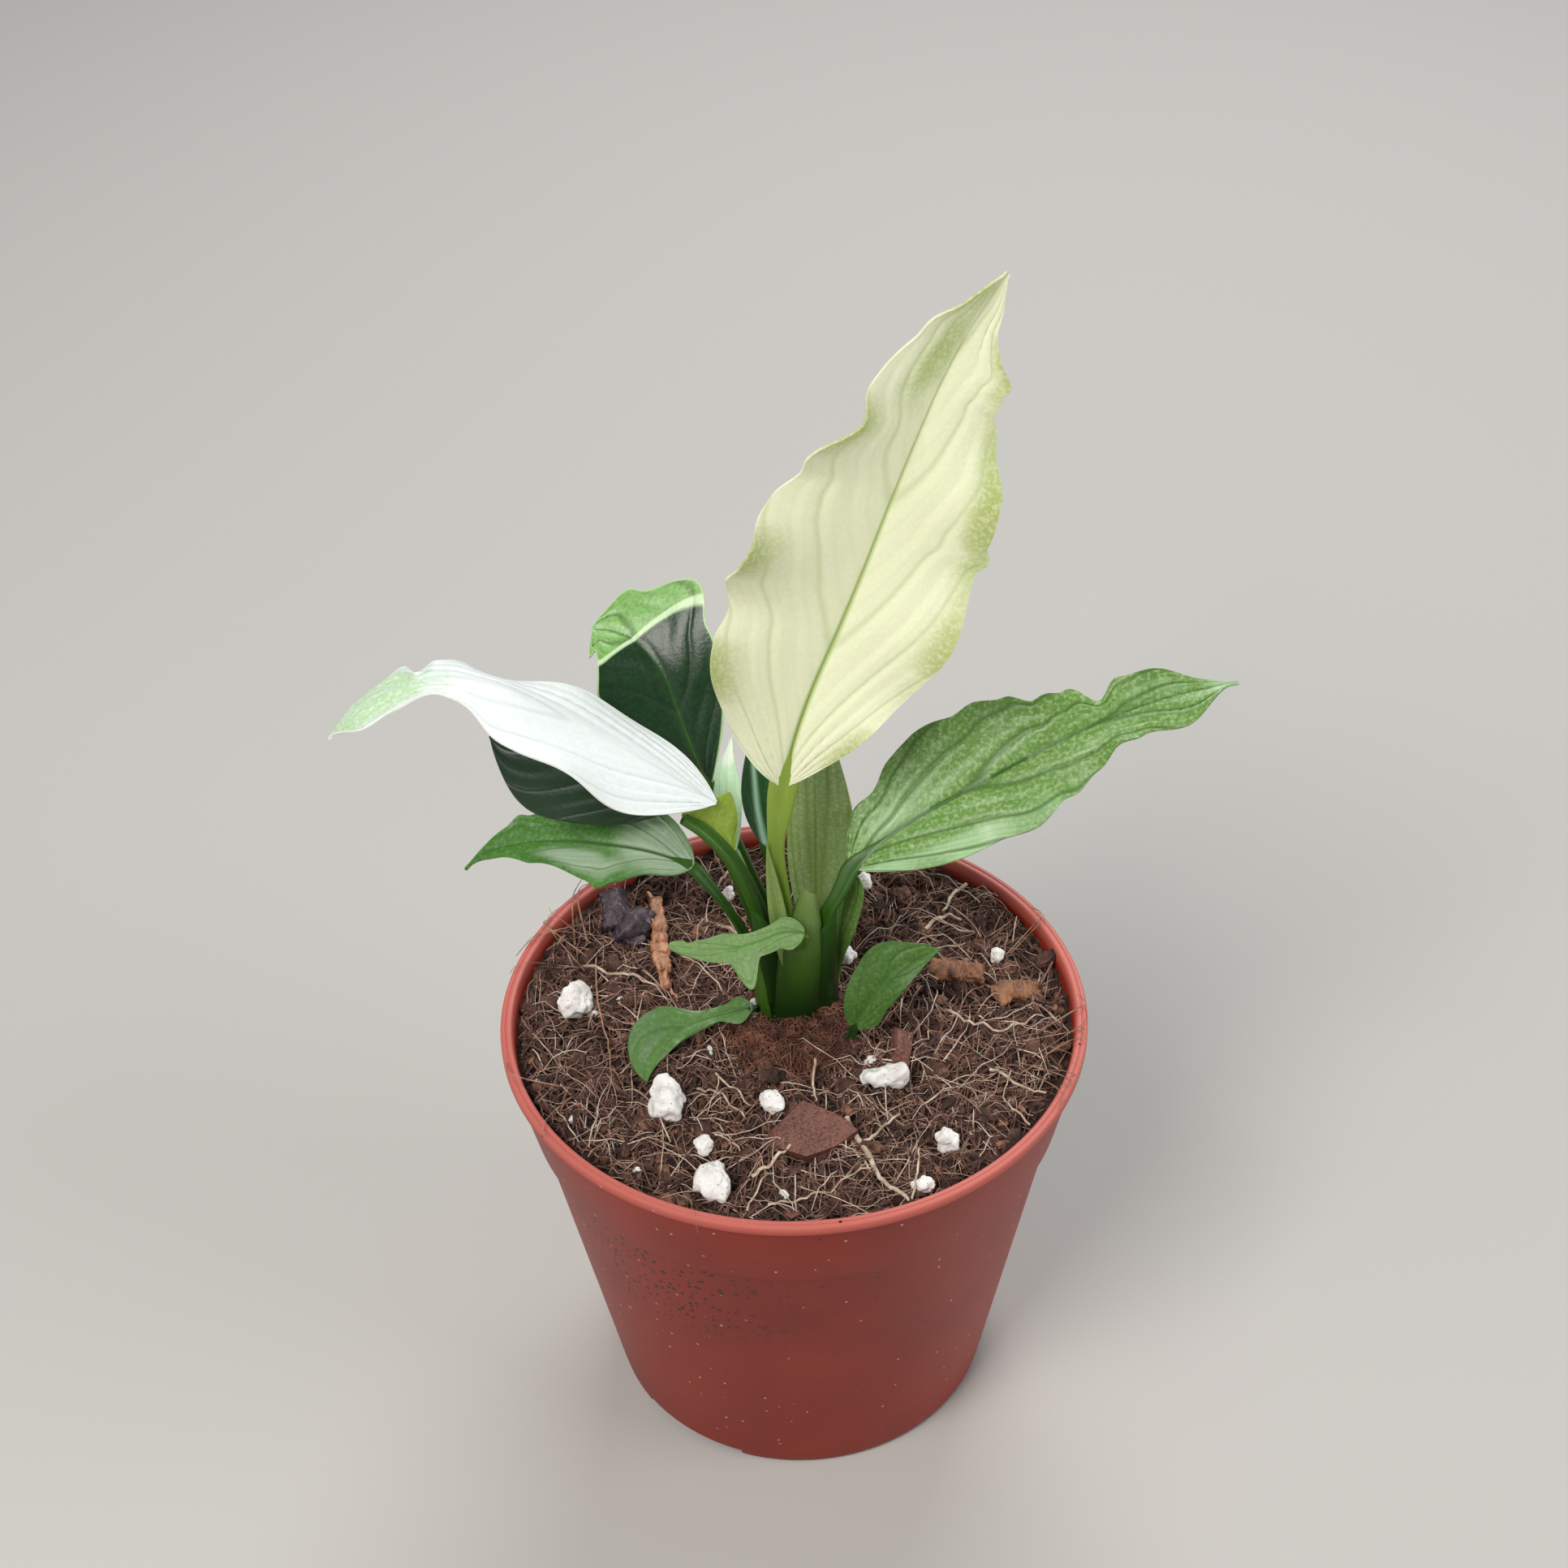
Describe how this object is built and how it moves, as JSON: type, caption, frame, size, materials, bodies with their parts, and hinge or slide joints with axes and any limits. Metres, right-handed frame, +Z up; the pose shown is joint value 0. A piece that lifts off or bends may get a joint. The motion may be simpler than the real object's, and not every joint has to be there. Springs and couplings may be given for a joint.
{
  "type": "potted variegated peace lily",
  "caption": "Young peace lily with cream, white and green variegated leaves, growing from a soil-filled round nursery pot that stands on its flat foot.",
  "frame": {"origin": "centre of the flat pad under the pot, on the plane it stands on", "axes": "+Z up along the pot's axis; -Y towards the plant's front; +X to the right seen from the front"},
  "size_m": [0.1535, 0.105, 0.2188],
  "materials": {
    "terracotta_polypropylene": "satin injection-moulded plastic, terracotta red",
    "coir_potting_mix": "loose dark brown coir and peat crumbs, matt",
    "peat_plug_fibre": "pressed reddish-brown peat fibre, matt",
    "expanded_perlite": "chalky white expanded mineral grains",
    "pine_bark": "reddish-brown composted bark, matt",
    "charred_pine_bark": "dark purple-grey aged bark, matt",
    "knotted_rootwood": "orange-brown knobbly root wood, matt",
    "coir_straw": "dry pale coir and straw fibre",
    "cream_leaf_tissue": "cream to pale yellow leaf with olive midrib, soft sheen",
    "white_leaf_tissue": "cool white variegated leaf, soft sheen",
    "green_leaf_tissue": "mid green leaf with silvery variegation, soft sheen",
    "dark_green_leaf_tissue": "dark green leaf, glossy",
    "pale_leaf_tissue": "pale grey-green leaf, soft sheen",
    "green_stalk_tissue": "glossy green leaf stalk"
  },
  "bodies": {
    "root": {"back_leaf": "dark_green_leaf_tissue", "back_stalk": "green_stalk_tissue", "bark_dark_long": "charred_pine_bark", "bark_dark_short": "charred_pine_bark", "bark_flat_front": "pine_bark", "bark_orange_chip": "knotted_rootwood", "bark_red_flake": "pine_bark", "bark_right_flake": "knotted_rootwood", "bract_leaf": "pale_leaf_tissue", "bract_stalk": "green_stalk_tissue", "cream_leaf": "cream_leaf_tissue", "cream_stalk": "green_stalk_tissue", "crown": "green_stalk_tissue", "front_leaf": "green_leaf_tissue", "front_stalk": "green_stalk_tissue", "green_back_leaf": "green_leaf_tissue", "green_back_stalk": "green_stalk_tissue", "left_seed_leaf": "green_leaf_tissue", "left_seed_stalk": "green_stalk_tissue", "low_left_leaf": "green_leaf_tissue", "low_left_stalk": "green_stalk_tissue", "mint_leaf": "pale_leaf_tissue", "mint_stalk": "green_stalk_tissue", "peat_plug": "peat_plug_fibre", "perlite_01": "expanded_perlite", "perlite_02": "expanded_perlite", "perlite_03": "expanded_perlite", "perlite_04": "expanded_perlite", "perlite_05": "expanded_perlite", "perlite_06": "expanded_perlite", "perlite_07": "expanded_perlite", "perlite_08": "expanded_perlite", "perlite_09": "expanded_perlite", "perlite_10": "expanded_perlite", "perlite_11": "expanded_perlite", "perlite_12": "expanded_perlite", "pot": "terracotta_polypropylene", "right_leaf": "green_leaf_tissue", "right_seed_leaf": "green_leaf_tissue", "right_seed_stalk": "green_stalk_tissue", "right_stalk": "green_stalk_tissue", "rootwood_stick": "knotted_rootwood", "shaded_leaf": "dark_green_leaf_tissue", "shaded_stalk": "green_stalk_tissue", "soil": "coir_potting_mix", "straw_back": "coir_straw", "straw_behind": "coir_straw", "straw_forked": "coir_straw", "straw_front": "coir_straw", "straw_left": "coir_straw", "straw_right_arc": "coir_straw", "straw_rim": "coir_straw", "upright_leaf": "pale_leaf_tissue", "upright_stalk": "green_stalk_tissue", "white_leaf": "white_leaf_tissue", "white_stalk": "green_stalk_tissue"}
  },
  "joints": []
}
